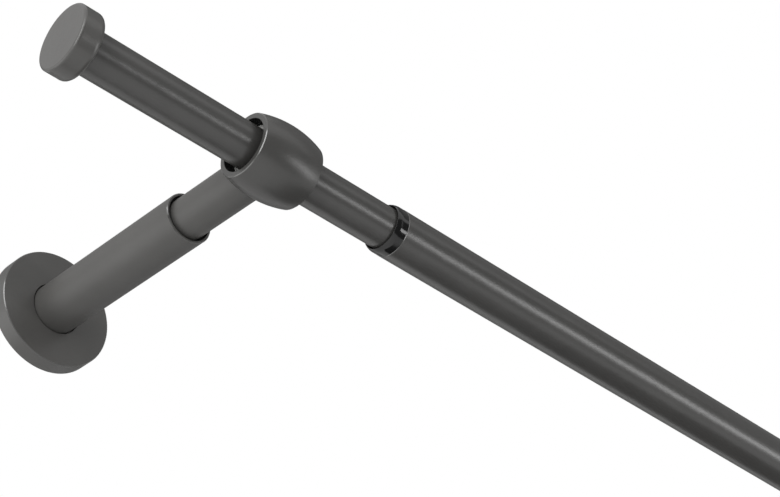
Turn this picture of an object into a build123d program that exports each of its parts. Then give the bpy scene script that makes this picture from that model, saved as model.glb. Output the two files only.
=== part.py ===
from build123d import *
import os

os.makedirs("parts", exist_ok=True)

# Extendable curtain rod on two telescopic wall brackets, all sizes in millimetres.
# The origin is the middle of the left wall plate's back face. The wall is the plane y = 0,
# with the whole rod in front of it at negative y. +X runs along the rod and +Z is up.

# Whole rod
closed_length = 1200.0  # between the outer faces of the end caps, pushed together
rod_to_wall = 132.0  # wall to the rod's axis
bracket_inset = 88.8  # outer face of an end cap to the middle of its bracket

# Fits
press_gap = 0.05  # pieces that are pressed or glued together
running_gap = 0.1  # a plastic bush on a tube that slides in it
loose_gap = 0.3  # metal beside a tube that slides past it

# Rod tubes and the collar between them
inner_tube_radius = 8.0
inner_tube_wall = 1.0
outer_tube_wall = 0.8
mouth_offset = 56.8  # middle of the left bracket to the outer tube's mouth
collar_head_length = 5.0
collar_nose_length = 2.4
collar_nose_drop = 0.6  # how far the nose's rim lies below the collar's outside
collar_sleeve_wall = 0.55
collar_sleeve_length = 20.0
collar_lead_in = 0.35
collar_step = 0.05  # the collar lies this far below the outer tube's skin
guide_head_length = 5.0
guide_plug_length = 12.0
guide_wall = 1.5
guide_end_room = 18.0  # inner tube's guide to the right cap's plug
tube_edge = 0.15  # broken edge at the outer tube's mouth

# End caps
cap_radius = 12.5
cap_length = 8.8
cap_face_thickness = 2.5
cap_front_edge = 1.0
cap_rear_edge = 2.0
cap_peg_radius = 3.0
cap_peg_length = 17.0
cap_plug_length = 16.0
cap_plug_start = 0.5  # the plug sits this far from the socket's floor
cap_plug_core_wall = 1.6
cap_rib_count = 5
cap_rib_thickness = 1.2

# Ring that carries the rod
ring_length = 25.6
ring_rod_gap = 0.7  # round the outer tube
ring_rim_wall = 2.1
ring_belly_wall = 4.2
ring_edge_radius = 0.4
ring_seam = 0.2  # between the ring and the arm tube cut to its curve
insert_length = 16.8
insert_edge = 0.3

# Telescopic arm
arm_inner_radius = 8.0
arm_inner_wall = 1.2
arm_outer_wall = 1.0
arm_mouth_to_rod = 45.0
arm_mouth_edge = 0.3
arm_retraction = 28.0  # how far the inner arm can slide towards the wall
arm_stop_room = 1.0  # left between the inner arm and the boss when it is pushed in
arm_bush_wall = 0.85
arm_bush_length = 14.0
arm_bush_recess = 0.6
arm_plug_length = 14.0

# Wall plate and the rosette over it
rosette_radius = 24.0
rosette_depth = 7.0
rosette_face_wall = 1.5
rosette_rim_wall = 1.4
rosette_edge = 0.6
plate_margin = 0.6
plate_thickness = 3.0
boss_length = 12.0
boss_edge = 0.6
wall_screw_spacing = 30.0
wall_screw_hole_radius = 2.25
wall_screw_head_radius = 4.25

# Set screws and the countersunk screw that holds the ring
set_screw_radius = 2.0
set_screw_edge = 0.3
hex_key_size = 2.0
socket_depth = 1.2
screw_pass_gap = 0.3  # where a screw passes freely through a wall
base_screw_to_rosette = 4.0
base_screw_length = 4.0
base_screw_bite = 2.0  # how deep it reaches into the boss
clamp_screw_to_mouth = 7.0
clamp_screw_length = 2.5
left_ring_screw_length = 5.0
right_ring_screw_length = 4.0
fixing_screw_radius = 2.0
fixing_head_radius = 4.0
fixing_head_sink = 0.1  # the head's top lies this far under the ring's bore
fixing_screw_length = 12.0
fixing_hex_size = 2.5

# Sizes that follow from those
inner_tube_bore = inner_tube_radius - inner_tube_wall
collar_bore = inner_tube_radius + running_gap
outer_tube_bore = collar_bore + collar_sleeve_wall + press_gap
outer_tube_radius = outer_tube_bore + outer_tube_wall
ring_bore = outer_tube_radius + ring_rod_gap
ring_rim_radius = ring_bore + ring_rim_wall
ring_belly_radius = ring_bore + ring_belly_wall
arm_inner_bore = arm_inner_radius - arm_inner_wall
arm_bush_bore = arm_inner_radius + running_gap
arm_outer_bore = arm_bush_bore + arm_bush_wall + press_gap
arm_outer_radius = arm_outer_bore + arm_outer_wall
boss_radius = arm_outer_bore - press_gap
boss_end = plate_thickness + boss_length
plate_radius = rosette_radius - rosette_rim_wall - plate_margin
arm_mouth = rod_to_wall - arm_mouth_to_rod
arm_inner_back = boss_end + arm_retraction + arm_stop_room
fixing_head_top = ring_bore + fixing_head_sink
set_screw_hole = set_screw_radius + press_gap
set_screw_pass = set_screw_radius + screw_pass_gap

left_face_x = -bracket_inset
right_face_x = closed_length - bracket_inset
bracket_x = {"left": 0.0, "right": closed_length - 2 * bracket_inset}
held_tube_radius = {"left": inner_tube_radius, "right": outer_tube_radius}
ring_screw_length = {"left": left_ring_screw_length, "right": right_ring_screw_length}
cap_plug_reach = cap_face_thickness + cap_plug_start + cap_plug_length
guide_end_x = right_face_x - cap_plug_reach - guide_end_room
inner_tube_end_x = guide_end_x - guide_head_length
rod_axis = Axis((0, -rod_to_wall, 0), (1, 0, 0))


def save(piece, node):
    piece.part.label = node
    export_step(piece.part, f"parts/{node}.step")


# Planes across the rod, across an arm and under a screw that stands upright

def across_rod(x, direction=1):
    return Plane(origin=(x, -rod_to_wall, 0), x_dir=(0, direction, 0), z_dir=(direction, 0, 0))


def across_arm(x, distance):
    return Plane(origin=(x, -distance, 0), x_dir=(1, 0, 0), z_dir=(0, -1, 0))


def upright(x, distance, height):
    return Plane(origin=(x, -distance, height))


# A straight tube that grows from a plane

def build_tube(node, plane, outside, bore, length):
    with BuildPart() as tube:
        with BuildSketch(plane):
            Circle(outside)
            Circle(bore, mode=Mode.SUBTRACT)
        extrude(amount=length)
    save(tube, node)


# A headless screw with a hexagon socket, point down

def build_set_screw(node, x, distance, point_height, length):
    with BuildPart() as screw:
        with BuildSketch(upright(x, distance, point_height)):
            Circle(set_screw_radius)
        extrude(amount=length)
        chamfer(screw.edges().filter_by(GeomType.CIRCLE), set_screw_edge)
        with BuildSketch(upright(x, distance, point_height + length)):
            RegularPolygon(hex_key_size / 2, 6, major_radius=False)
        extrude(amount=-socket_depth, mode=Mode.SUBTRACT)
    save(screw, node)


# Half section of the ring's barrel, from the rod's axis out

def barrel_section(x, growth=0.0):
    half = ring_length / 2 + growth
    rim = ring_rim_radius + growth
    with BuildSketch(Plane(origin=(x, -rod_to_wall, 0))) as section:
        with BuildLine():
            ThreePointArc((-half, rim), (0, ring_belly_radius + growth), (half, rim))
            Polyline((half, rim), (half, 0), (-half, 0), (-half, rim))
        make_face()
    return section.sketch


# Wall plate with two countersunk holes and the boss that the arm slips over

def build_wall_plate(side, x):
    with BuildPart() as plate:
        with BuildSketch(across_arm(x, 0)):
            Circle(plate_radius)
        extrude(amount=plate_thickness)
        with BuildSketch(across_arm(x, plate_thickness)):
            Circle(boss_radius)
        extrude(amount=boss_length)
        chamfer(plate.faces().sort_by(Axis.Y)[0].edges(), boss_edge)
        with Locations(across_arm(x, plate_thickness)):
            with GridLocations(0, wall_screw_spacing, 1, 2):
                CounterSinkHole(wall_screw_hole_radius, wall_screw_head_radius, counter_sink_angle=90)
        with Locations(upright(x, rosette_depth + base_screw_to_rosette, boss_radius)):
            Hole(set_screw_hole, depth=base_screw_bite + press_gap)
    save(plate, f"{side}_wall_plate")


# Rosette, a shallow cup that hides the wall plate

def build_rosette(side, x):
    with BuildPart() as rosette:
        with BuildSketch(across_arm(x, 0)):
            Circle(rosette_radius)
        extrude(amount=rosette_depth)
        fillet(rosette.faces().sort_by(Axis.Y)[0].edges(), rosette_edge)
        with BuildSketch(across_arm(x, 0)):
            Circle(rosette_radius - rosette_rim_wall)
        extrude(amount=rosette_depth - rosette_face_wall, mode=Mode.SUBTRACT)
        with Locations(across_arm(x, rosette_depth)):
            Hole(arm_outer_radius + press_gap)
    save(rosette, f"{side}_rosette")


# Outer arm, with a tapped hole near each end on its upper side

def build_outer_arm(side, x):
    with BuildPart() as arm:
        with BuildSketch(across_arm(x, plate_thickness)):
            Circle(arm_outer_radius)
            Circle(arm_outer_bore, mode=Mode.SUBTRACT)
        extrude(amount=arm_mouth - plate_thickness)
        mouth = arm.faces().sort_by(Axis.Y)[0]
        chamfer(mouth.edges().sort_by(SortBy.RADIUS)[-1], arm_mouth_edge)
        for distance in (rosette_depth + base_screw_to_rosette, arm_mouth - clamp_screw_to_mouth):
            with Locations(upright(x, distance, arm_outer_radius)):
                Hole(set_screw_hole, depth=arm_outer_radius)
    save(arm, f"{side}_arm_outer_tube")


# Bush in the mouth of the outer arm, with a way through for the clamp screw

def build_arm_bush(side, x):
    with BuildPart() as bush:
        with BuildSketch(across_arm(x, arm_mouth - arm_bush_recess - arm_bush_length)):
            Circle(arm_outer_bore - press_gap)
            Circle(arm_bush_bore, mode=Mode.SUBTRACT)
        extrude(amount=arm_bush_length)
        with Locations(upright(x, arm_mouth - clamp_screw_to_mouth, arm_outer_bore)):
            Hole(set_screw_pass, depth=arm_outer_bore)
    save(bush, f"{side}_arm_guide_bush")


# Inner arm, its front end cut to the ring's barrel

def build_inner_arm(side, x):
    with BuildPart() as arm:
        with BuildSketch(across_arm(x, arm_inner_back)):
            Circle(arm_inner_radius)
            Circle(arm_inner_bore, mode=Mode.SUBTRACT)
        extrude(amount=rod_to_wall - arm_inner_back)
        revolve(barrel_section(x, ring_seam), axis=rod_axis, mode=Mode.SUBTRACT)
    save(arm, f"{side}_arm_inner_tube")


# Threaded plug in the front end of the inner arm, cut to the barrel too

def build_arm_plug(side, x):
    plug_back = rod_to_wall - ring_belly_radius - arm_plug_length
    with BuildPart() as plug:
        with BuildSketch(across_arm(x, plug_back)):
            Circle(arm_inner_bore - press_gap)
            Circle(fixing_screw_radius + press_gap, mode=Mode.SUBTRACT)
        extrude(amount=rod_to_wall - plug_back)
        revolve(barrel_section(x, ring_seam), axis=rod_axis, mode=Mode.SUBTRACT)
    save(plug, f"{side}_arm_end_plug")


# Barrel-shaped ring, open from end to end for the rod

def build_ring(side, x):
    with BuildPart() as ring:
        revolve(barrel_section(x), axis=rod_axis)
        with Locations(across_rod(x)):
            Hole(ring_bore)
        fillet(ring.faces().filter_by(Axis.X).edges(), ring_edge_radius)
        with Locations(upright(x, rod_to_wall, ring_belly_radius)):
            Hole(set_screw_hole, depth=ring_belly_radius)
        with Locations(across_arm(x, rod_to_wall - fixing_head_top)):
            CounterSinkHole(
                fixing_screw_radius + screw_pass_gap,
                fixing_head_radius + press_gap,
                depth=ring_belly_wall + ring_seam,
                counter_sink_angle=90,
            )
    save(ring, f"{side}_ring_holder")


# Countersunk screw from inside the ring into the arm's plug

def build_fixing_screw(side, x):
    head_end = fixing_head_top + fixing_head_radius - fixing_screw_radius
    screw_end = fixing_head_top + fixing_screw_length
    section_plane = Plane(origin=(x, -rod_to_wall, 0), x_dir=(0, 1, 0), z_dir=(1, 0, 0))
    with BuildPart() as screw:
        with BuildSketch(section_plane):
            with BuildLine():
                Polyline(
                    (fixing_head_top, 0),
                    (fixing_head_top, fixing_head_radius),
                    (head_end, fixing_screw_radius),
                    (screw_end, fixing_screw_radius),
                    (screw_end, 0),
                    close=True,
                )
            make_face()
        revolve(axis=Axis((x, -rod_to_wall, 0), (0, 1, 0)))
        with BuildSketch(across_arm(x, rod_to_wall - fixing_head_top)):
            RegularPolygon(fixing_hex_size / 2, 6, major_radius=False)
        extrude(amount=-socket_depth, mode=Mode.SUBTRACT)
    save(screw, f"{side}_ring_fixing_screw")


# Reducing insert that centres the thin tube in the left ring

def build_ring_insert(side, x):
    with BuildPart() as insert:
        with BuildSketch(across_rod(x - insert_length / 2)):
            Circle(ring_bore - press_gap)
            Circle(inner_tube_radius + loose_gap, mode=Mode.SUBTRACT)
        extrude(amount=insert_length)
        chamfer(insert.faces().filter_by(Axis.X).edges(), insert_edge)
        with Locations(upright(x, rod_to_wall, ring_bore)):
            Hole(set_screw_pass, depth=ring_bore)
    save(insert, f"{side}_ring_insert")


# End cap with a socket for the tube and a peg for its plug

def build_end_cap(side, face_x, inward, tube_radius):
    face = across_rod(face_x, inward)
    with BuildPart() as cap:
        with BuildSketch(face):
            Circle(cap_radius)
        extrude(amount=cap_length)
        flat_faces = cap.faces().filter_by(Axis.X).sort_by(Axis.X, reverse=inward < 0)
        fillet(flat_faces[0].edges(), cap_front_edge)
        rear_face = cap.faces().filter_by(Axis.X).sort_by(Axis.X, reverse=inward < 0)[-1]
        fillet(rear_face.edges(), cap_rear_edge)
        with BuildSketch(face.offset(cap_face_thickness)):
            Circle(tube_radius + press_gap)
        extrude(amount=cap_length, mode=Mode.SUBTRACT)
        with BuildSketch(face.offset(cap_face_thickness)):
            Circle(cap_peg_radius)
        extrude(amount=cap_peg_length)
    save(cap, f"{side}_end_cap")


# Ribbed plug that grips the inside of the tube

def build_cap_plug(side, face_x, inward, tube_bore):
    start = across_rod(face_x, inward).offset(cap_face_thickness + cap_plug_start)
    core_radius = cap_peg_radius + cap_plug_core_wall
    rib_pitch = (cap_plug_length - cap_rib_thickness) / (cap_rib_count - 1)
    with BuildPart() as plug:
        with BuildSketch(start):
            Circle(core_radius)
        extrude(amount=cap_plug_length)
        for rib in range(cap_rib_count):
            with BuildSketch(start.offset(rib * rib_pitch)):
                Circle(tube_bore - press_gap)
            extrude(amount=cap_rib_thickness)
        with Locations(start):
            Hole(cap_peg_radius + press_gap)
    save(plug, f"{side}_cap_plug")


# Collar in the mouth of the outer tube, with a rounded nose and a hidden sleeve

def build_collar():
    head_x = mouth_offset - collar_head_length
    shoulder_x = head_x + collar_nose_length
    outside = outer_tube_radius - collar_step
    nose = outside - collar_nose_drop
    sleeve = outer_tube_bore - press_gap
    sleeve_x = mouth_offset + collar_sleeve_length
    with BuildPart() as collar:
        with BuildSketch(Plane(origin=(0, -rod_to_wall, 0))):
            with BuildLine():
                TangentArc((shoulder_x, outside), (head_x, nose), tangent=(-1, 0))
                Polyline(
                    (head_x, nose),
                    (head_x, collar_bore + collar_lead_in),
                    (head_x + collar_lead_in, collar_bore),
                    (sleeve_x, collar_bore),
                    (sleeve_x, sleeve),
                    (mouth_offset, sleeve),
                    (mouth_offset, outside),
                    (shoulder_x, outside),
                )
            make_face()
        revolve(axis=rod_axis)
    save(collar, "transition_collar")


# Outer tube of the rod, its mouth edge broken

def build_outer_tube():
    length = right_face_x - cap_face_thickness - mouth_offset
    with BuildPart() as tube:
        with BuildSketch(across_rod(mouth_offset)):
            Circle(outer_tube_radius)
            Circle(outer_tube_bore, mode=Mode.SUBTRACT)
        extrude(amount=length)
        mouth = tube.faces().filter_by(Axis.X).sort_by(Axis.X)[0]
        chamfer(mouth.edges().sort_by(SortBy.RADIUS)[-1], tube_edge)
    save(tube, "outer_tube")


# Guide on the hidden end of the inner tube, which runs in the outer tube

def build_guide():
    with BuildPart() as guide:
        with BuildSketch(across_rod(inner_tube_end_x - guide_plug_length)):
            Circle(inner_tube_bore - press_gap)
        extrude(amount=guide_plug_length)
        with BuildSketch(across_rod(inner_tube_end_x)):
            Circle(outer_tube_bore - running_gap)
        extrude(amount=guide_head_length)
        with Locations(across_rod(inner_tube_end_x)):
            Hole(inner_tube_bore - press_gap - guide_wall)
    save(guide, "inner_tube_guide")


for side, x in bracket_x.items():
    held_radius = held_tube_radius[side]
    build_wall_plate(side, x)
    build_rosette(side, x)
    build_outer_arm(side, x)
    build_arm_bush(side, x)
    build_inner_arm(side, x)
    build_arm_plug(side, x)
    build_ring(side, x)
    build_fixing_screw(side, x)
    base_distance = rosette_depth + base_screw_to_rosette
    build_set_screw(f"{side}_base_set_screw", x, base_distance, boss_radius - base_screw_bite, base_screw_length)
    clamp_distance = arm_mouth - clamp_screw_to_mouth
    clamp_height = arm_inner_radius + loose_gap
    build_set_screw(f"{side}_arm_clamp_screw", x, clamp_distance, clamp_height, clamp_screw_length)
    ring_height = held_radius + loose_gap
    build_set_screw(f"{side}_ring_set_screw", x, rod_to_wall, ring_height, ring_screw_length[side])

build_ring_insert("left", bracket_x["left"])

inner_tube_start_x = left_face_x + cap_face_thickness
inner_tube_length = inner_tube_end_x - inner_tube_start_x
build_tube("inner_tube", across_rod(inner_tube_start_x), inner_tube_radius, inner_tube_bore, inner_tube_length)
build_outer_tube()
build_collar()
build_guide()
build_end_cap("left", left_face_x, 1, inner_tube_radius)
build_cap_plug("left", left_face_x, 1, inner_tube_bore)
build_end_cap("right", right_face_x, -1, outer_tube_radius)
build_cap_plug("right", right_face_x, -1, outer_tube_bore)
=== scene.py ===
import bpy
import math
from mathutils import Matrix, Vector


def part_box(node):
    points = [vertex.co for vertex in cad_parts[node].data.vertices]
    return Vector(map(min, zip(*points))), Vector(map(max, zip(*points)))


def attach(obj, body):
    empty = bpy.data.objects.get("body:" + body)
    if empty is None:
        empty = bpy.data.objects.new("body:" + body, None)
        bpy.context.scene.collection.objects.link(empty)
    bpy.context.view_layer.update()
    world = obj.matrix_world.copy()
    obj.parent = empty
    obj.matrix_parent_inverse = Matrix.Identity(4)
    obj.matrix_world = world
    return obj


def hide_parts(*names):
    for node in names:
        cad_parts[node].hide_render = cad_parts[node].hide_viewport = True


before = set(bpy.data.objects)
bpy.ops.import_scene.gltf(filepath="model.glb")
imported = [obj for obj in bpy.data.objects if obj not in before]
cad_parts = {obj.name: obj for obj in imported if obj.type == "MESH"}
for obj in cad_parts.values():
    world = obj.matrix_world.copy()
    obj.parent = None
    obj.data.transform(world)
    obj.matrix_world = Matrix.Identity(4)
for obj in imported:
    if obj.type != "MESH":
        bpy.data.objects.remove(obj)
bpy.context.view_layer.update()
mm = 0.001
print("frame loaded")


# Where things are, read from the frame

def middleOf(node):
    low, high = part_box(node)
    return (low + high) / 2


def sizeOf(node):
    low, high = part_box(node)
    return high - low


rodLine = middleOf("inner_tube")
sides = ("left", "right")
bracketX = {side: middleOf(f"{side}_ring_holder").x for side in sides}
alongRod = Vector((1, 0, 0))
outOfWall = Vector((0, -1, 0))
upwards = Vector((0, 0, 1))


# Hand tools: one piece picked, a profile with rounded corners, a turned piece, a drilled hole

def pickOnly(piece):
    bpy.ops.object.select_all(action="DESELECT")
    piece.select_set(True)
    bpy.context.view_layer.objects.active = piece


def applyModifier(piece, kind, **settings):
    pickOnly(piece)
    bpy.ops.object.modifier_add(type=kind)
    modifier = piece.modifiers[-1]
    for setting, value in settings.items():
        setattr(modifier, setting, value)
    bpy.ops.object.modifier_apply(modifier=modifier.name)


holdLook = {"longest": 1.2, "distance": 0.2}


def roundCorner(before, here, after, bend, steps):
    back = (before - here).normalized()
    onward = (after - here).normalized()
    half = back.angle(onward) / 2
    middle = here + (back + onward).normalized() * bend / math.sin(half)
    first = here + back * bend / math.tan(half) - middle
    last = here + onward * bend / math.tan(half) - middle
    sweep = first.angle(last)
    points = []
    for step in range(steps + 1):
        turned = sweep * step / steps
        swung = first * math.sin(sweep - turned) + last * math.sin(turned)
        points.append(middle + swung / math.sin(sweep))
    return points


def roundedRings(corners, steps):
    rings = []
    for i, (distance, radius, bend, *flat) in enumerate(corners):
        here = Vector((distance, radius))
        if bend:
            before, after = Vector(corners[i - 1][:2]), Vector(corners[i + 1][:2])
            rings += roundCorner(before, here, after, bend, 1 if flat else steps)
        else:
            rings.append(here)
    held = [rings[0]]  # a ring close to each end of a long straight keeps its shading straight
    for before, after in zip(rings, rings[1:]):
        straight = after - before
        if straight.length > holdLook["longest"]:
            hold = straight.normalized() * holdLook["distance"]
            held += [before + hold, after - hold]
        held.append(after)
    return held


seamGap = 1  # a hollow piece's profile starts and ends in its bore, this many millimetres apart
coreShare = 0.5  # the first or last ring of a solid piece, as a share of its radius


def turnPiece(name, corners, start, along, solid=False, segments=128, steps=5):
    rings = roundedRings(corners, steps)  # each is distance and radius, in millimetres
    bpy.ops.object.select_all(action="DESELECT")
    bpy.ops.mesh.primitive_circle_add(
        vertices=segments,
        radius=rings[0].y * mm,
        fill_type="NGON" if solid else "NOTHING",
        location=start + along * rings[0].x * mm,
        rotation=along.to_track_quat("Z", "Y").to_euler(),
    )
    piece = bpy.context.object
    piece.name = piece.data.name = name
    bpy.ops.object.mode_set(mode="EDIT")
    for before, after in zip(rings, rings[1:]):
        step = along * (after.x - before.x) * mm
        bpy.ops.mesh.extrude_region_move(TRANSFORM_OT_translate={"value": step})
        grow = after.y / before.y
        centre = start + along * after.x * mm
        bpy.ops.transform.resize(value=(grow, grow, grow), center_override=centre)
    if not solid:  # the last ring is joined to the first
        bpy.context.tool_settings.mesh_select_mode = (False, True, False)
        bpy.ops.mesh.select_all(action="DESELECT")
        bpy.ops.mesh.select_non_manifold(
            extend=False, use_wire=False, use_multi_face=False, use_non_contiguous=False, use_verts=False
        )
        bpy.ops.mesh.bridge_edge_loops()
    bpy.ops.mesh.select_all(action="SELECT")
    bpy.ops.mesh.normals_make_consistent(inside=False)
    bpy.ops.object.mode_set(mode="OBJECT")
    bpy.ops.object.transform_apply(location=True, rotation=True, scale=True)
    return piece


def cutAway(piece, cutter):
    applyModifier(piece, "BOOLEAN", object=cutter, operation="DIFFERENCE", solver="EXACT")
    bpy.data.objects.remove(cutter)


drillLook = {"above": 1, "sink": 0.3, "segments": 40}


def drill(piece, radius, mouth, along, depth, sink=drillLook["sink"]):
    above = drillLook["above"]  # the bit starts this far outside the piece
    corners = [(-above, radius + sink + above, 0), (sink, radius, 0), (depth, radius, 0)]
    cutAway(piece, turnPiece("drillBit", corners, mouth, along, solid=True, segments=drillLook["segments"]))


sharpFrom = 28  # degrees, and an edge that turns more stays sharp


def finish(piece, body, slot, materials, *nodes):
    piece.data.materials.clear()
    for material in materials:
        piece.data.materials.append(material)
    pickOnly(piece)
    bpy.ops.object.shade_smooth_by_angle(angle=math.radians(sharpFrom))
    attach(piece, body)
    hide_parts(*nodes)


edgeReach = 0.28  # millimetres from a corner to the middle of the bevel on it


def shineEdge(piece, start, along, distance, radius):  # the bevel at this corner gets the smoother paint
    piece.data.materials.append(edgePaint)
    for face in piece.data.polygons:
        offset = (face.center - start) / mm
        ahead = offset.dot(along)
        if math.hypot(ahead - distance, (offset - along * ahead).length - radius) < edgeReach:
            face.material_index = len(piece.data.materials) - 1


# Finishes

def newFinish(name, shaderSettings):
    material = bpy.data.materials.new(name)
    material.use_nodes = True
    shader = material.node_tree.nodes["Principled BSDF"]
    for socket, value in shaderSettings.items():
        shader.inputs[socket].default_value = value
    return material, material.node_tree.nodes, material.node_tree.links, shader


def addNoise(nodes, links, scale, detail):
    place = nodes.new("ShaderNodeTexCoord")
    noise = nodes.new("ShaderNodeTexNoise")
    noise.inputs["Scale"].default_value = scale
    noise.inputs["Detail"].default_value = detail
    links.new(place.outputs["Object"], noise.inputs["Vector"])
    return noise.outputs["Fac"]


noiseSpan = (0.3, 0.7)  # most of a noise lies between these


def addRange(nodes, links, source, low, high):
    spread = nodes.new("ShaderNodeMapRange")
    spread.inputs["From Min"].default_value = noiseSpan[0]
    spread.inputs["From Max"].default_value = noiseSpan[1]
    spread.inputs["To Min"].default_value = low
    spread.inputs["To Max"].default_value = high
    links.new(source, spread.inputs["Value"])
    return spread.outputs["Result"]


def addShade(nodes, links, source, dark, light):
    shade = nodes.new("ShaderNodeMix")
    shade.data_type = "RGBA"
    shade.inputs[6].default_value = (*dark, 1)
    shade.inputs[7].default_value = (*light, 1)
    links.new(source, shade.inputs["Factor"])
    return shade.outputs[2]


def addGrain(nodes, links, source, shader, strength, depth):
    bump = nodes.new("ShaderNodeBump")
    bump.inputs["Strength"].default_value = strength
    bump.inputs["Distance"].default_value = depth * mm
    links.new(source, bump.inputs["Height"])
    links.new(bump.outputs["Normal"], shader.inputs["Normal"])
    return bump


paintLook = {
    "colour": (0.0372, 0.0364, 0.0347),
    "spread": 0.06,  # how much lighter and darker the clouds are
    "cloud": 55.0,
    "cloudDetail": 3,
    "grain": 2600.0,
    "grainDetail": 2,
    "grainStrength": 0.12,
    "grainDepth": 0.03,
    "peel": 85.0,  # the soft waves of sprayed paint
    "peelDetail": 4,
    "peelStrength": 0.8,
    "peelDepth": 0.24,
    "roughness": 0.31,
    "roughnessSpread": 0.03,
    "specular": 0.66,
}


def makePaint(name, tone=1.0, roughness=paintLook["roughness"], specular=paintLook["specular"]):
    look = paintLook
    material, nodes, links, shader = newFinish(name, {"Specular IOR Level": specular})
    cloud = addRange(nodes, links, addNoise(nodes, links, look["cloud"], look["cloudDetail"]), 0, 1)
    dark = [c * tone * (1 - look["spread"]) for c in look["colour"]]
    light = [c * tone * (1 + look["spread"]) for c in look["colour"]]
    links.new(addShade(nodes, links, cloud, dark, light), shader.inputs["Base Color"])
    grain = addNoise(nodes, links, look["grain"], look["grainDetail"])
    low, high = roughness - look["roughnessSpread"], roughness + look["roughnessSpread"]
    links.new(addRange(nodes, links, grain, low, high), shader.inputs["Roughness"])
    fine = addGrain(nodes, links, grain, shader, look["grainStrength"], look["grainDepth"])
    peel = addNoise(nodes, links, look["peel"], look["peelDetail"])
    addGrain(nodes, links, peel, fine, look["peelStrength"], look["peelDepth"])
    return material


plasticLook = {
    "cloud": 120,
    "cloudDetail": 2,
    "lighter": 1.25,
    "grain": 1800,
    "grainDetail": 2,
    "grainDepth": 0.02,
    "smoothest": 0.9,  # shares of the roughness
    "roughest": 1.1,
    "specular": 0.5,
}


def makePlastic(name, colour, roughness, grainStrength, specular=plasticLook["specular"]):
    look = plasticLook
    material, nodes, links, shader = newFinish(name, {"Specular IOR Level": specular})
    cloud = addRange(nodes, links, addNoise(nodes, links, look["cloud"], look["cloudDetail"]), 0, 1)
    light = [c * look["lighter"] for c in colour]
    links.new(addShade(nodes, links, cloud, colour, light), shader.inputs["Base Color"])
    grain = addNoise(nodes, links, look["grain"], look["grainDetail"])
    low, high = roughness * look["smoothest"], roughness * look["roughest"]
    links.new(addRange(nodes, links, grain, low, high), shader.inputs["Roughness"])
    addGrain(nodes, links, grain, shader, grainStrength, look["grainDepth"])
    return material


steelLook = {
    "cloud": 300,
    "cloudDetail": 4,
    "darker": 0.8,
    "grain": 1500,
    "grainDetail": 3,
    "grainStrength": 0.2,
    "grainDepth": 0.02,
    "smoothest": 0.8,
    "roughest": 1.2,
}


def makeBareSteel(name, colour, roughness):
    look = steelLook
    material, nodes, links, shader = newFinish(name, {"Metallic": 1.0})
    cloud = addRange(nodes, links, addNoise(nodes, links, look["cloud"], look["cloudDetail"]), 0, 1)
    dark = [c * look["darker"] for c in colour]
    links.new(addShade(nodes, links, cloud, dark, colour), shader.inputs["Base Color"])
    grain = addNoise(nodes, links, look["grain"], look["grainDetail"])
    low, high = roughness * look["smoothest"], roughness * look["roughest"]
    links.new(addRange(nodes, links, grain, low, high), shader.inputs["Roughness"])
    addGrain(nodes, links, grain, shader, look["grainStrength"], look["grainDepth"])
    return material


tubePaint = makePaint("tubePaint")
# arm, cap and rosette use the tube's paint made lighter (tone above 1): painted light standing in for light
# the lamps do not give, mostly from the left. The arm's higher roughness is its own matt finish.
armPaintPaintedLight = makePaint("armPaintPaintedLight", 1.5, 0.48, 0.42)
castPaint = makePaint("castPaint", 1.02, 0.34, 0.56)
capPaintPaintedLight = makePaint("capPaintPaintedLight", 1.42, 0.32, 0.55)
rosettePaintPaintedLight = makePaint("rosettePaintPaintedLight", 1.38, 0.38, 0.5)
edgePaint = makePaint("edgePaint", 1.0, 0.17, 0.9)
# near-black finish for the ring's bore: painted shade standing in for the deep recess
paintedShadeBore = makePlastic("paintedShadeBore", (0.004, 0.004, 0.004), 0.7, 0.1, 0.2)
collarGloss = makePlastic("collarGloss", (0.006, 0.006, 0.006), 0.12, 0.01)
bushBlack = makePlastic("bushBlack", (0.004, 0.004, 0.004), 0.7, 0.1, 0.2)
insertGrey = makePlastic("insertGrey", (0.36, 0.36, 0.35), 0.5, 0.1)
plateZinc = makeBareSteel("plateZinc", (0.5, 0.5, 0.48), 0.35)
screwZinc = makeBareSteel("screwZinc", (0.55, 0.55, 0.52), 0.3)
screwDark = makeBareSteel("screwDark", (0.06, 0.06, 0.06), 0.35)
print("finishes made")


# Rod: two tubes, the collar between them and an end cap on each

tubeLook = {"innerWall": 1.0, "outerWall": 0.8, "edge": 0.1, "mouthEdge": 0.2}


def makeRodTube(name, body, wall, mouthEdge):
    size = sizeOf(name)
    radius = size.y / 2 / mm
    length = size.x / mm
    start = Vector((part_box(name)[0].x, rodLine.y, 0))
    edge = tubeLook["edge"]
    corners = [
        (length / 2, radius - wall, 0),
        (0, radius - wall, edge),
        (0, radius, mouthEdge, "flat"),
        (length, radius, edge),
        (length, radius - wall, edge),
        (length / 2 + seamGap, radius - wall, 0),
    ]
    tube = turnPiece(f"{name}_skin", corners, start, alongRod)
    finish(tube, body, "anthracite_tube", [tubePaint], name)
    shineEdge(tube, start, alongRod, 0, radius)


makeRodTube("inner_tube", "inner_rod", tubeLook["innerWall"], tubeLook["edge"])
makeRodTube("outer_tube", "outer_rod", tubeLook["outerWall"], tubeLook["mouthEdge"])

collarLook = {
    "head": 5.0,
    "nose": 2.4,
    "noseDrop": 0.6,
    "noseSteps": 8,
    "bore": 8.1,
    "leadIn": 0.65,
    "leadDepth": 1.2,
    "sleeve": 8.65,
    "edge": 0.12,
}


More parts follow.
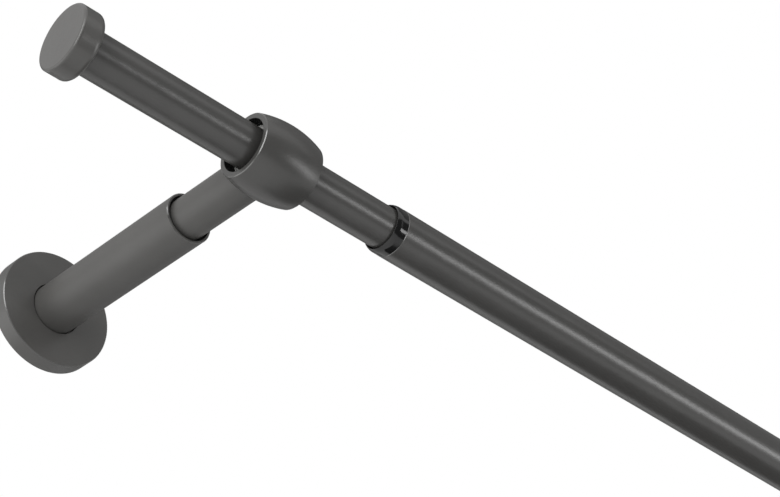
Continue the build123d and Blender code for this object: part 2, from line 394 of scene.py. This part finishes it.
def makeCollar():
    look = collarLook
    outside = sizeOf("transition_collar").y / 2 / mm
    length = sizeOf("transition_collar").x / mm
    start = Vector((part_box("transition_collar")[0].x, rodLine.y, 0))
    curve = (look["nose"] ** 2 + look["noseDrop"] ** 2) / 2 / look["noseDrop"]  # radius of the nose's arc
    corners = [
        (length / 2, look["bore"], 0),
        (look["leadDepth"], look["bore"], 0),
        (0, look["bore"] + look["leadIn"], 0),
    ]
    for step in range(look["noseSteps"] + 1):
        distance = look["nose"] * step / look["noseSteps"]
        drop = curve - math.sqrt(curve**2 - (look["nose"] - distance) ** 2)
        corners.append((distance, outside - drop, look["edge"] / 2 if step == 0 else 0))
    corners += [
        (look["head"], outside, look["edge"]),
        (look["head"], look["sleeve"], 0),
        (length, look["sleeve"], look["edge"]),
        (length, look["bore"], look["edge"]),
        (length / 2 + seamGap, look["bore"], 0),
    ]
    collar = turnPiece("transition_collar_gloss", corners, start, alongRod)
    finish(collar, "outer_rod", "black_gloss_collar", [collarGloss], "transition_collar")


makeCollar()

capLook = {
    "length": 8.8,
    "face": 2.5,
    "frontEdge": 1.0,
    "rearEdge": 2.0,
    "socketGap": 0.05,
    "lipEdge": 0.1,
    "peg": 3.0,
    "pegEdge": 0.3,
}


def makeEndCap(side, body, inward, tube):
    look = capLook
    low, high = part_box(f"{side}_end_cap")
    radius = (high.y - low.y) / 2 / mm
    reach = (high.x - low.x) / mm
    socket = sizeOf(tube).y / 2 / mm + look["socketGap"]
    start = Vector((low.x if inward > 0 else high.x, rodLine.y, 0))
    corners = [
        (0, radius * coreShare, 0),
        (0, radius, look["frontEdge"]),
        (look["length"], radius, look["rearEdge"]),
        (look["length"], socket, look["lipEdge"]),
        (look["face"], socket, 0),
        (look["face"], look["peg"], 0),
        (reach, look["peg"], look["pegEdge"]),
        (reach, look["peg"] * coreShare, 0),
    ]
    cap = turnPiece(f"{side}_end_cap_skin", corners, start, alongRod * inward, solid=True)
    finish(cap, body, "anthracite_cap", [capPaintPaintedLight], f"{side}_end_cap")


makeEndCap("left", "inner_rod", 1, "inner_tube")
makeEndCap("right", "outer_rod", -1, "outer_tube")
print("rod made")


# Ring: a barrel turned from an arc, open for the rod, with a hole drilled on top

ringLook = {
    "rim": 12.3,
    "bore": 10.2,
    "edge": 0.35,
    "boreEdge": 0.3,
    "steps": 26,
    "segments": 160,
    "seam": 0.2,  # left between the ring and the arm
    "boreReach": 0.1,  # a face up to this far outside the bore is the bore's
}
screwLook = {
    "radius": 2.0,
    "pitch": 0.7,
    "threadDepth": 0.3,
    "gap": 0.05,
    "key": 2.0,
    "keySides": 6,
    "socket": 1.2,
    "cup": 0.4,  # depth and radius of the hollow in the tip
    "tip": 0.6,  # share of the radius
    "tipChamfer": 0.4,
    "headChamfer": 0.3,
    "threadFrom": 0.9,  # share of the radius
    "ringsPerTurn": 8,
    "segments": 48,
}


def barrelArc(side, growth=0.0):
    size = sizeOf(f"{side}_ring_holder")
    half = size.x / 2 / mm + growth
    belly = size.y / 2 / mm + growth
    drop = belly - ringLook["rim"] - growth
    curve = (half**2 + drop**2) / 2 / drop
    arc = []
    for step in range(ringLook["steps"] + 1):
        distance = half * (2 * step / ringLook["steps"] - 1)
        arc.append((distance, belly - curve + math.sqrt(curve**2 - distance**2), 0))
    return arc


def makeRing(side):
    look = ringLook
    start = middleOf(f"{side}_ring_holder")
    arc = barrelArc(side)
    (first, rim, _), (last, _, _) = arc[0], arc[-1]
    corners = [
        (0, look["bore"], 0),
        (first, look["bore"], look["boreEdge"]),
        (first, rim, look["edge"], "flat"),
        *arc[1:-1],
        (last, rim, look["edge"], "flat"),
        (last, look["bore"], look["boreEdge"]),
        (seamGap, look["bore"], 0),
    ]
    ring = turnPiece(f"{side}_ring_holder_skin", corners, start, alongRod, segments=look["segments"])
    top = start + upwards * sizeOf(f"{side}_ring_holder").z / 2
    drill(ring, screwLook["radius"] + screwLook["gap"], top, -upwards, look["bore"])
    finish(ring, f"{side}_arm", "anthracite_casting", [castPaint, paintedShadeBore], f"{side}_ring_holder")
    for face in ring.data.polygons:  # the bore faces get a near-black finish: painted shade for the deep recess
        fromAxis = math.hypot(face.center.y - rodLine.y, face.center.z)
        if fromAxis < (look["bore"] + look["boreReach"]) * mm:
            face.material_index = 1
    for end in (first, last):
        shineEdge(ring, start, alongRod, end, rim)


for side in sides:
    makeRing(side)

insertLook = {"edge": 0.3, "gap": 0.3, "sink": 0.1}


def makeInsert():
    size = sizeOf("left_ring_insert")
    outside = size.y / 2 / mm
    bore = sizeOf("inner_tube").y / 2 / mm + insertLook["gap"]
    length = size.x / mm
    edge = insertLook["edge"]
    start = Vector((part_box("left_ring_insert")[0].x, rodLine.y, 0))
    corners = [
        (length / 2, bore, 0),
        (0, bore, edge),
        (0, outside, edge),
        (length, outside, edge),
        (length, bore, edge),
        (length / 2 + seamGap, bore, 0),
    ]
    insert = turnPiece("left_ring_insert_grey", corners, start, alongRod)
    middle = middleOf("left_ring_insert")
    top = Vector((middle.x, middle.y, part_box("left_ring_insert")[1].z))
    drill(insert, screwLook["radius"] + insertLook["gap"], top, -upwards, bore, insertLook["sink"])
    finish(insert, "left_arm", "grey_plastic", [insertGrey], "left_ring_insert")


makeInsert()
print("rings made")


# Set screws, with a real thread and a hexagon socket

def makeSetScrew(node, body):
    look = screwLook
    low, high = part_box(node)
    length = (high.z - low.z) / mm
    radius = look["radius"]
    start = Vector(((low.x + high.x) / 2, (low.y + high.y) / 2, low.z))
    ringCount = round(length / look["pitch"] * look["ringsPerTurn"])
    corners = [(look["cup"], look["cup"], 0), (0, radius * look["tip"], 0)]
    for step in range(ringCount + 1):
        distance = length * step / ringCount
        chamfer = min(0, distance - look["tipChamfer"], length - distance - look["headChamfer"])
        corners.append((distance, radius + chamfer, 0))
    screw = turnPiece(f"{node}_threaded", corners, start, upwards, solid=True, segments=look["segments"])
    for vertex in screw.data.vertices:  # the thread winds up the shank
        out = Vector((vertex.co.x - start.x, vertex.co.y - start.y, 0))
        if out.length > radius * look["threadFrom"] * mm:
            height = (vertex.co.z - start.z) / mm
            wave = (height / look["pitch"] - math.atan2(out.y, out.x) / math.tau) % 1
            cut = look["threadDepth"] * abs(2 * wave - 1) * mm
            vertex.co -= out.normalized() * cut
    bpy.ops.object.select_all(action="DESELECT")
    bpy.ops.mesh.primitive_cylinder_add(
        vertices=look["keySides"],
        radius=look["key"] / math.sqrt(3) * mm,
        depth=look["socket"] * 2 * mm,
        location=Vector((start.x, start.y, high.z)),
    )
    cutAway(screw, bpy.context.object)
    finish(screw, body, "dark_screw", [screwDark], node)


for side in sides:
    makeSetScrew(f"{side}_ring_set_screw", f"{side}_arm")
    makeSetScrew(f"{side}_arm_clamp_screw", f"{side}_base")
    makeSetScrew(f"{side}_base_set_screw", f"{side}_base")
print("set screws made")


# Telescopic arm: the inner tube is cut to the barrel, the outer one holds a black bush in its mouth

armLook = {
    "innerWall": 1.2,
    "outerWall": 1.0,
    "edge": 0.12,
    "mouthEdge": 0.3,
    "frontReach": 0.1,  # how far behind the last ring the cut to the barrel takes hold
    "bushBore": 8.1,
    "bushEdge": 0.25,
    "bushRearEdge": 0.1,
    "bushSetBack": 0.5,
}


def makeInnerArm(side):
    node = f"{side}_arm_inner_tube"
    size = sizeOf(node)
    radius = size.x / 2 / mm
    wall = armLook["innerWall"]
    length = size.y / mm
    start = Vector((bracketX[side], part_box(node)[1].y, 0))
    short = length - ringLook["rim"]
    corners = [
        (length / 2, radius - wall, 0),
        (0, radius - wall, armLook["edge"]),
        (0, radius, armLook["edge"]),
        (short, radius, 0),
        (short, radius - wall, 0),
        (length / 2 + seamGap, radius - wall, 0),
    ]
    arm = turnPiece(f"{node}_skin", corners, start, outOfWall)
    ringMiddle = middleOf(f"{side}_ring_holder")
    barrel = turnPiece("barrelShape", barrelArc(side, ringLook["seam"]), ringMiddle, alongRod, solid=True)
    frontEnd = arm.vertex_groups.new(name="frontEnd")
    frontY = start.y - (short - armLook["frontReach"]) * mm
    frontEnd.add([v.index for v in arm.data.vertices if v.co.y < frontY], 1, "REPLACE")
    applyModifier(
        arm,
        "SHRINKWRAP",
        target=barrel,
        vertex_group="frontEnd",
        wrap_method="PROJECT",
        use_project_y=True,
        use_positive_direction=False,
        use_negative_direction=True,
    )
    bpy.data.objects.remove(barrel)
    arm.vertex_groups.clear()
    finish(arm, f"{side}_arm", "anthracite_arm", [armPaintPaintedLight], node)


def makeOuterArm(side):
    node = f"{side}_arm_outer_tube"
    size = sizeOf(node)
    radius = size.x / 2 / mm
    bore = radius - armLook["outerWall"]
    length = size.y / mm
    start = Vector((bracketX[side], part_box(node)[1].y, 0))
    corners = [
        (length / 2, bore, 0),
        (0, bore, 0),
        (0, radius, 0),
        (length, radius, armLook["mouthEdge"], "flat"),
        (length, bore, armLook["edge"]),
        (length / 2 + seamGap, bore, 0),
    ]
    arm = turnPiece(f"{node}_skin", corners, start, outOfWall)
    for screw in ("arm_clamp_screw", "base_set_screw"):
        middle = middleOf(f"{side}_{screw}")
        top = Vector((middle.x, middle.y, radius * mm))
        drill(arm, screwLook["radius"] + screwLook["gap"], top, -upwards, radius)
    finish(arm, f"{side}_base", "anthracite_arm", [armPaintPaintedLight], node)
    shineEdge(arm, start, outOfWall, length, radius)


def makeBush(side):
    node = f"{side}_arm_guide_bush"
    size = sizeOf(node)
    outside = size.x / 2 / mm
    bore = armLook["bushBore"]
    rearEdge = armLook["bushRearEdge"]
    length = size.y / mm
    shown = length - armLook["bushSetBack"]  # the deep mouth stays black
    start = Vector((bracketX[side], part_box(node)[1].y, 0))
    corners = [
        (length / 2, bore, 0),
        (0, bore, rearEdge),
        (0, outside, rearEdge),
        (shown, outside, rearEdge),
        (shown, bore, armLook["bushEdge"]),
        (length / 2 + seamGap, bore, 0),
    ]
    bush = turnPiece(f"{node}_black", corners, start, outOfWall)
    middle = middleOf(f"{side}_arm_clamp_screw")
    top = Vector((middle.x, middle.y, outside * mm))
    drill(bush, screwLook["radius"] + insertLook["gap"], top, -upwards, outside, insertLook["sink"])
    finish(bush, f"{side}_base", "black_bush", [bushBlack], node)


for side in sides:
    makeInnerArm(side)
    makeOuterArm(side)
    makeBush(side)
print("arms made")


# Wall plate with its countersunk holes, and the rosette over it

rosetteLook = {
    "rimWall": 1.4,
    "faceWall": 1.5,
    "gap": 0.4,
    "edge": 0.3,
    "backEdge": 0.15,
    "backInnerEdge": 0.1,
    "holeEdge": 0.15,
    "hollowEdge": 0.3,
    "seamGap": 0.1,
    "segments": 192,
}
plateLook = {
    "thickness": 3.0,
    "boss": 8.95,
    "edge": 0.3,
    "neckEdge": 0.2,
    "bossEdge": 0.6,
    "hole": 2.25,
    "head": 4.25,
    "spacing": 30,
    "holeSegments": 48,
}


def makeRosette(side):
    look = rosetteLook
    node = f"{side}_rosette"
    radius = sizeOf(node).x / 2 / mm
    inside = radius - look["rimWall"]
    depth = sizeOf(node).y / mm
    hole = sizeOf(f"{side}_arm_outer_tube").x / 2 / mm + look["gap"]
    hollow = depth - look["faceWall"]
    start = Vector((bracketX[side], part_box(node)[1].y, 0))
    corners = [
        (hollow / 2, inside, 0),
        (0, inside, look["backInnerEdge"]),
        (0, radius, look["backEdge"]),
        (depth, radius, look["edge"], "flat"),
        (depth, hole, look["holeEdge"]),
        (hollow, hole, 0),
        (hollow, inside, look["hollowEdge"]),
        (hollow / 2 + look["seamGap"], inside, 0),
    ]
    rosette = turnPiece(f"{node}_skin", corners, start, outOfWall, segments=look["segments"])
    finish(rosette, f"{side}_base", "anthracite_casting", [rosettePaintPaintedLight], node)
    shineEdge(rosette, start, outOfWall, depth, radius)


def makePlate(side):
    look = plateLook
    node = f"{side}_wall_plate"
    radius = sizeOf(node).x / 2 / mm
    length = sizeOf(node).y / mm
    start = Vector((bracketX[side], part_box(node)[1].y, 0))
    corners = [
        (0, radius * coreShare, 0),
        (0, radius, look["edge"]),
        (look["thickness"], radius, look["edge"]),
        (look["thickness"], look["boss"], look["neckEdge"]),
        (length, look["boss"], look["bossEdge"]),
        (length, look["boss"] * coreShare, 0),
    ]
    plate = turnPiece(f"{node}_zinc", corners, start, outOfWall, solid=True)
    above = drillLook["above"]
    bit = [
        (-above, look["head"] + above, 0),
        (look["head"] - look["hole"], look["hole"], 0),
        (look["thickness"] + above, look["hole"], 0),
    ]
    for turn in (-1, 1):
        mouth = start + outOfWall * look["thickness"] * mm + upwards * turn * look["spacing"] / 2 * mm
        countersink = turnPiece("drillBit", bit, mouth, -outOfWall, solid=True, segments=look["holeSegments"])
        cutAway(plate, countersink)
    finish(plate, f"{side}_base", "zinc_steel", [plateZinc], node)


for side in sides:
    makePlate(side)
    makeRosette(side)
print("wall ends made")


# Pieces that stay as they are in the frame

def dressNode(node, material):
    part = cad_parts[node]
    part.data.materials.clear()
    part.data.materials.append(material)


for side in sides:
    dressNode(f"{side}_arm_end_plug", plateZinc)
    dressNode(f"{side}_ring_fixing_screw", screwZinc)
    dressNode(f"{side}_cap_plug", insertGrey)
dressNode("inner_tube_guide", bushBlack)
print("hidden pieces dressed")


# Stage, light and camera

stageLook = {
    "floorPlace": (0.5, 0, -4.5),
    "floorSize": 80.0,
    "colour": (0.95, 0.95, 0.95),
    "roughness": 0.9,
    "ambient": 0.8,
}


def seenDirectly(nodes, links):  # 1 for rays from the camera, and for those mirrored or passed on
    path = nodes.new("ShaderNodeLightPath")
    total = path.outputs["Is Camera Ray"]
    for name in ("Is Glossy Ray", "Is Transmission Ray"):
        most = nodes.new("ShaderNodeMath")
        most.operation = "MAXIMUM"
        links.new(total, most.inputs[0])
        links.new(path.outputs[name], most.inputs[1])
        total = most.outputs[0]
    return total


def addBackground(nodes, strength):
    background = nodes.new("ShaderNodeBackground")
    background.inputs["Color"].default_value = (1, 1, 1, 1)
    background.inputs["Strength"].default_value = strength
    return background.outputs["Background"]


def makeStage():
    look = stageLook
    bpy.ops.mesh.primitive_plane_add(size=look["floorSize"], location=look["floorPlace"])
    floor = bpy.context.object
    floor.name = "floor"
    paleSettings = {"Base Color": (*look["colour"], 1), "Roughness": look["roughness"]}
    material, _, _, _ = newFinish("paleFloor", paleSettings)
    floor.data.materials.append(material)
    world = bpy.data.worlds.new("studio")
    bpy.context.scene.world = world
    world.use_nodes = True
    nodes, links = world.node_tree.nodes, world.node_tree.links
    nodes.clear()
    output = nodes.new("ShaderNodeOutputWorld")
    mix = nodes.new("ShaderNodeMixShader")
    links.new(seenDirectly(nodes, links), mix.inputs["Fac"])
    links.new(addBackground(nodes, look["ambient"]), mix.inputs[1])  # what lights the object
    links.new(addBackground(nodes, 1), mix.inputs[2])  # what is seen behind it
    links.new(mix.outputs[0], output.inputs["Surface"])


# Directions are from a point on the rod: turn from the front towards the right, and rise above level
lightMiddle = Vector((0.1, rodLine.y, 0))
panels = {
    "keyStrip": {"turn": 41.0, "rise": -11, "distance": 4.0, "size": (2.5, 0.76), "level": 5.7},
    "leftPanel": {"turn": -122, "rise": -22, "distance": 4.1, "size": (3.8, 3.4), "level": 1.35},
    "edgeLamp": {"turn": -68, "rise": 6, "distance": 4.0, "size": (1.9, 4.4), "level": 5.0},
    "fillPanel": {"turn": -38, "rise": 26, "distance": 4.2, "size": (2.6, 3.0), "level": 0.8},
}
cards = {
    "frontCard": {"turn": 12, "rise": -7, "distance": 4.3, "size": (6.6, 5.8), "level": 0.05},
    "midCard": {"turn": 23, "rise": 12, "distance": 4.2, "size": (0.9, 1.8), "level": 0.6},
    "rightCard": {"turn": 108, "rise": -36, "distance": 4.3, "size": (4.2, 3.8), "level": 0.0},
    "backCard": {"turn": 146, "rise": 22, "distance": 4.3, "size": (3.4, 4.0), "level": 0.25},
    "highCard": {"turn": 78, "rise": 43, "distance": 4.3, "size": (4.4, 5.8), "level": 0.27},
    "topCard": {"turn": 122, "rise": 55, "distance": 4.4, "size": (4.5, 3.5), "level": 0.15},
    "leftCard": {"turn": -172, "rise": 32, "distance": 4.3, "size": (2.0, 3.1), "level": 0.27},
}


def placeRound(item, look):
    turn, rise = math.radians(look["turn"]), math.radians(look["rise"])
    toward = Vector((math.sin(turn) * math.cos(rise), -math.cos(turn) * math.cos(rise), math.sin(rise)))
    item.location = lightMiddle + toward * look["distance"]
    item.rotation_euler = toward.to_track_quat("Z", "Y").to_euler()
    item.visible_camera = False


def addPanel(name, look):
    lamp = bpy.data.lights.new(name, "AREA")
    lamp.shape = "RECTANGLE"
    lamp.size, lamp.size_y = look["size"]
    lamp.energy = look["level"] * math.pi * lamp.size * lamp.size_y
    panel = bpy.data.objects.new(name, lamp)
    bpy.context.scene.collection.objects.link(panel)
    placeRound(panel, look)


def addCard(name, look):
    material, _, _, shader = newFinish(name, {"Base Color": (0, 0, 0, 1), "Roughness": 1.0})
    shader.inputs["Specular IOR Level"].default_value = 0
    shader.inputs["Emission Color"].default_value = (1, 1, 1, 1)
    shader.inputs["Emission Strength"].default_value = look["level"]
    bpy.ops.object.select_all(action="DESELECT")
    bpy.ops.mesh.primitive_plane_add(size=1)
    card = bpy.context.object
    card.name = name
    card.scale = (*look["size"], 1)
    card.data.materials.append(material)
    card.visible_diffuse = card.visible_shadow = False  # only a mirrored ray meets it
    placeRound(card, look)


cameraLook = {
    "place": (-0.32329, -0.54161, -0.42584),
    "swing": 42.829,
    "rise": 36.854,
    "roll": -1.502,
    "lens": 90.226,
    "sensor": 36.0,
    "nearest": 0.01,
    "farthest": 50,
}


def addCamera():
    look = cameraLook
    swing, rise, roll = (math.radians(look[angle]) for angle in ("swing", "rise", "roll"))
    ahead = Vector((math.sin(swing) * math.cos(rise), math.cos(swing) * math.cos(rise), math.sin(rise)))
    level = Vector((math.cos(swing), -math.sin(swing), 0))
    up = level.cross(ahead)
    right = level * math.cos(roll) - up * math.sin(roll)
    above = up * math.cos(roll) + level * math.sin(roll)
    lens = bpy.data.cameras.new("photoCamera")
    lens.lens = look["lens"]
    lens.sensor_width = look["sensor"]
    lens.sensor_fit = "HORIZONTAL"
    lens.clip_start, lens.clip_end = look["nearest"], look["farthest"]
    camera = bpy.data.objects.new("photoCamera", lens)
    bpy.context.scene.collection.objects.link(camera)
    turned = Matrix((right, above, -ahead)).transposed().to_4x4()
    camera.matrix_world = Matrix.Translation(look["place"]) @ turned
    bpy.context.scene.camera = camera


makeStage()
for name, look in panels.items():
    addPanel(name, look)
for name, look in cards.items():
    addCard(name, look)
addCamera()
bpy.context.scene.view_settings.view_transform = "Standard"
print("stage, light and camera set")
